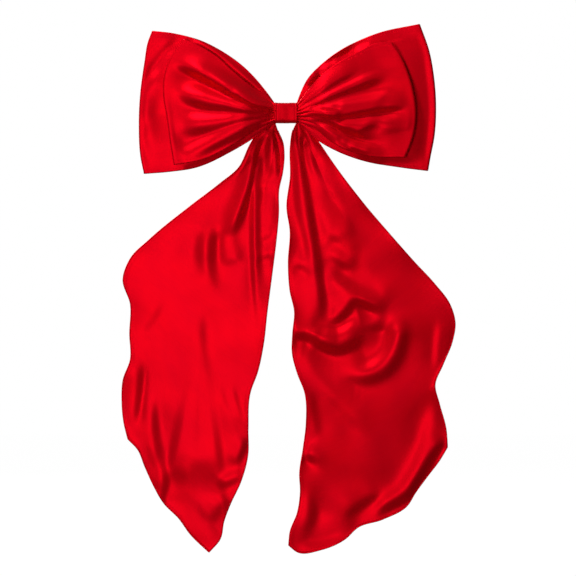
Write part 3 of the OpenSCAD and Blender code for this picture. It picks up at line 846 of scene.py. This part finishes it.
RIGHT_TAIL = dict(
    pinch=[(8.5, -0.5), (8, -3), (7.6, -5.5)],
    outer=[(8.5, -0.5), (13, -6), (23, -20.8), (34, -37), (50.7, -59), (69, -80.6), (88, -102),
           (101, -116), (112, -131), (115.3, -143), (113.5, -155), (107, -171), (101.5, -185),
           (104.5, -198), (109, -215), (110, -227.5)],
    end=[(110, -227.5), (105, -236), (96, -248), (88, -259), (83, -267), (66, -276.5), (49, -282),
         (40, -290), (24, -297), (8, -298.6), (2, -294)],
    inner=[(7.6, -5.5), (5, -11), (3.2, -22), (3.2, -43), (0.8, -64), (3, -80), (1.8, -102), (3, -121),
           (6, -135), (4.8, -150), (4.5, -163), (8, -177), (13, -190), (14, -211), (12, -228),
           (9.5, -245), (10, -258), (8, -272), (3, -285), (2, -294)],
    cut=(305, 112), pleats=3, pleat_depth=0.9, seed=6, ripple=0.5,
    wave=8.0, wave_height=1.1, turn_back=0.05,
    folds=[
        line((10, -14), (11, -30), (14.5, -53), (19, -82), (23, -110), (25, -130), (24.5, -146),
             slope=-0.75, near=1.4, far=2.4, begin=0.05, end=0.2),
        line((6, -20), (6.5, -46), (9.5, -72), (13, -85), (15.5, -98), (16.4, -112),
             slope=0.45, near=2.2, far=2.6),
        line((14.5, -13), (13.5, -25), (17, -38), (22, -49), (28, -60), (35, -72),
             slope=0.45, near=1.2, far=3),
        line((20, -62), (25, -76), (29, -90), slope=0.3, near=2, far=4, begin=0.3),
        line((17, -25), (21, -38), (27, -49), (36, -62), (43, -74), (49, -88),
             slope=-0.85, near=1.3, far=2.6),
        line((32, -34), (44, -54), (56, -74), slope=0.2, near=3, far=4, begin=0.3),
        line((29, -82), (37, -88), (46, -97), slope=-0.25, near=2.6, begin=0.35),
        line((46, -96), (54, -106), (62, -118), (72, -131), slope=-0.3, near=3, far=3, begin=0.3),
        line((26, -95), (35, -101), (46, -108), slope=-0.28, near=2.6, begin=0.35),
        line((4, -103), (11, -105), (19, -112), slope=-0.3, near=2, begin=0.25),
        line((28, -106), (44, -118), (62, -132), slope=0.4, near=3, far=3.4, begin=0.25),
        line((28, -141), (35, -141), (41, -136), (48, -128), (56, -131), (66, -138),
             slope=-0.8, near=1.8, far=2.4, begin=0.15, end=0.2),
        line((14, -145), (26, -148), (36, -148), (45, -143), (52, -136),
             slope=0.5, near=2.4, far=2.6, begin=0.2),
        line((4, -152), (14, -152), (24, -158), (34, -161.5), (46, -157), (55, -148),
             slope=-0.8, near=2.2, far=3, begin=0.06, end=0.25),
        line((44, -174), (56, -172), (66, -164), (71, -150), (69, -134),
             slope=0.55, near=4, far=4.4, begin=0.25),
        line((36, -178), (54, -182), (68, -177), (78, -163), (81, -150), (81, -136),
             slope=-0.5, near=3, far=2.6, begin=0.25),
        line((104, -140), (102, -156), (101, -176), slope=0.18, near=1.8, far=1.8, begin=0.3),
        line((6, -163), (14, -172), (24, -186), (34, -198), (44, -209), (58, -221),
             slope=-0.34, near=2.4, far=3.4, begin=0.2),
        line((14, -166), (26, -182), (40, -198), slope=0.2, near=3, far=4, begin=0.2),
        line((17, -186), (20, -205), (24, -224), slope=-0.3, near=2, far=2.4, begin=0.3),
        line((12, -232), (20, -238), (27, -248), slope=-0.6, near=2.4, far=2.4, begin=0.15),
        line((102, -190), (97, -208), (92, -226), (86, -242), (74, -258), (58, -270), (42, -284),
             slope=0.24, near=4.5, far=4, begin=0.2, end=0.2),
        line((109, -222), (99, -235), (91, -248), (83, -260), (70, -268), (60, -275),
             slope=-0.8, near=2.2, far=2.2, begin=0.1, end=0.15),
        line((66, -258), (52, -267), (38, -276), slope=-0.45, near=2.6, far=3, begin=0.25),
        line((14, -252), (18, -264), (18, -276), (12, -289), slope=-0.45, near=2.6, far=3, begin=0.25),
        line((8, -293), (24, -293.5), (40, -287), slope=0.4, near=1.8, far=1.8, begin=0.25),
    ],
)


def make_tails():
    """The two tails with their hems."""
    rows = [
        ("tail_left", LEFT_TAIL, -1, "left_tail"),
        ("tail_right", RIGHT_TAIL, 1, "right_tail"),
    ]
    for node, shape, side, body in rows:
        piece, hem = tail(node + "_satin", shape, side)
        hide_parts(node)
        for part in (piece, hem):
            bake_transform(part)


# ---------------------------------------------------------------- knot

def box_mm(node):
    """The low and high corners of a CAD node, in millimetres."""
    return [np.array(corner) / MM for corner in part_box(node)]


def rounded_ring(half_y, half_z, power, count):
    """Y and Z round a rounded rectangle; the higher the power, the squarer its corners."""
    a = np.linspace(0, 2 * math.pi, count, endpoint=False)
    c, s = np.cos(a), np.sin(a)
    y = half_y * np.sign(c) * np.abs(c) ** (2 / power)
    z = half_z * np.sign(s) * np.abs(s) ** (2 / power)
    return y, z


def wrap_profile(half_w):
    """X and height over the CAD band, from one turned edge across the wrap to the other."""
    roll = 0.55        # how far the rounded edge drops
    tuck = 0.85        # how deep the turned edge lies
    under = [x * (half_w - 0.15) for x in np.linspace(0.03, 1, 9)]
    profile = [(-x, -tuck) for x in under]
    for x in np.linspace(-1, 1, 41):
        from_edge = (1 - abs(x)) * half_w
        rounding = 1 - min(1, from_edge / 0.9)
        lift = -roll * (1 - math.sqrt(1 - rounding ** 2))
        lift += 0.16 * math.exp(-((from_edge - 1.1) / 0.35) ** 2)    # a ridge along the edge
        lift -= 0.12 * math.exp(-((from_edge - 1.7) / 0.4) ** 2)     # a groove beside it
        lift -= 0.1 * (1 - x * x)                                    # and a slightly sunk middle
        profile.append((x * half_w, lift))
    profile += [(x, -tuck) for x in under[::-1]]
    return np.array(profile)


def centre_wrap():
    """A folded band of satin round the knot, its two long edges turned under."""
    low, high = box_mm("centre_wrap")
    half_w, half_y, half_z = (high - low) / 2
    mid_y = (high[1] + low[1]) / 2
    profile = wrap_profile(half_w)
    count = 160
    y, z = rounded_ring(1.0, 1.0, 6.0, count)
    around = np.arange(count) / count * 2 * math.pi
    px = profile[:, :1]
    creases = 0.05 * np.sin(px * 0.55 + 3 * around) + 0.02 * np.sin(px * 1.1 - 5 * around)
    lift = profile[:, 1:] + creases
    wave = 0.18 * np.sin(around * 4 + 0.7) + 0.12 * np.sin(around * 9)
    xx = px + wave * np.sign(px) * (np.abs(px) / half_w) ** 4
    yy = mid_y + y * (half_y + lift)
    zz = z * (half_z + lift)
    verts = np.stack([xx, yy, zz], axis=-1).reshape(-1, 3)
    faces = grid_faces(len(profile), count, wrap=True)
    ring = 4 * (half_y + half_z)
    uv = np.stack(np.broadcast_arrays(around / (2 * math.pi) * ring, px), axis=-1).reshape(-1, 2)
    edge = np.broadcast_to(half_w - np.abs(px), xx.shape).ravel() + 0.9
    obj = mesh("centre_wrap_satin", verts, faces, satin_wrap, uv, edge)
    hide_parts("centre_wrap")
    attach(obj, "knot")


def waist(node, folds_across):
    """The pinched middle of a strip: a bundle of pleats."""
    low, high = box_mm(node)
    half_x, half_y, half_z = (high - low) / 2
    half_x -= 0.1
    mid_y = (high[1] + low[1]) / 2
    count = 144
    y, z = rounded_ring(1.0, 1.0, 5.0, count)
    xs = np.linspace(-half_x, half_x, 33)
    around = np.arange(count) / count
    groove = 0.75 * np.exp(-(xs / 1.9) ** 4)[:, None]
    pleat = 0.28 * (1 - np.abs(np.sin(math.pi * folds_across * z * 0.5 + 0.3 * xs[:, None] / half_x)))
    inset = 0.15 + groove
    yy = mid_y + y * (half_y - inset - pleat)
    zz = z * (half_z - inset)
    verts = np.stack([np.broadcast_to(xs[:, None], yy.shape), yy, zz], axis=-1).reshape(-1, 3)
    faces = grid_faces(len(xs), count, wrap=True)
    faces += end_caps(len(verts), count)
    uv = np.stack(np.broadcast_arrays(xs[:, None], around[None] * 30), axis=-1).reshape(-1, 2)
    obj = mesh(node + "_satin", verts, faces, satin_red, uv, np.full(len(verts), NO_EDGE))
    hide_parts(node)
    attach(obj, "knot")


def joined_tubes(name, paths, radius, material, closed):
    """One object from several tubes."""
    verts, faces = [], []
    for path in paths:
        v, f = tube(path, radius, closed)
        start = len(verts)
        verts.extend(v.tolist())
        faces.extend([tuple(i + start for i in face) for face in f])
    return mesh(name, verts, faces, material)


def gathering_thread():
    """The thread's turns round the waists, each a little uneven."""
    low, high = box_mm("gathering_thread")
    radius = 0.25
    turns = 5
    count = 72
    _, half_y, half_z = (high - low) / 2 - radius
    y, z = rounded_ring(half_y, half_z, 7.0, count)
    mid_y = (high[1] + low[1]) / 2
    paths = []
    for x in np.linspace(low[0] + radius, high[0] - radius, turns):
        uneven = 0.05 * np.sin(np.arange(count) * 0.6 + x)
        paths.append(np.stack([x + uneven, mid_y + y, z], axis=-1))
    obj = joined_tubes("gathering_thread_windings", paths, radius, thread_red, True)
    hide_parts("gathering_thread")
    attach(obj, "knot")


def wrap_stitches():
    """Slanted hand stitches that close the wrap behind the knot, their ends sunk into the satin."""
    low, high = box_mm("wrap_stitches")
    t = np.linspace(-1, 1, 9)
    paths = []
    for x in np.linspace(low[0] + 0.8, high[0] - 0.8, 5):
        paths.append(np.stack([x + t * 0.65, low[1] + 0.22 - 0.35 * t ** 4, t * 1.25], axis=-1))
    obj = joined_tubes("wrap_stitches_thread", paths, 0.2, thread_red, False)
    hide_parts("wrap_stitches")
    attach(obj, "knot")


def clip_materials():
    """Better metal for the clip, which keeps its CAD shape."""
    plated = ["barrette_base", "hinge_pin", "locking_arm", "clasp_rivets"]
    sprung = ["tension_bar", "clasp_body", "clasp_finger_upper", "clasp_finger_lower"]
    for names, material in ((plated, clip_steel), (sprung, spring_steel)):
        for name in names:
            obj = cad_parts[name]
            for slot in obj.material_slots:
                slot.material = material


camera()
lights()
surroundings()
floor()
make_loops()
make_tails()
centre_wrap()
waist("rear_waist", 5)
waist("front_waist", 6)
waist("tail_waist", 4)
gathering_thread()
wrap_stitches()
clip_materials()
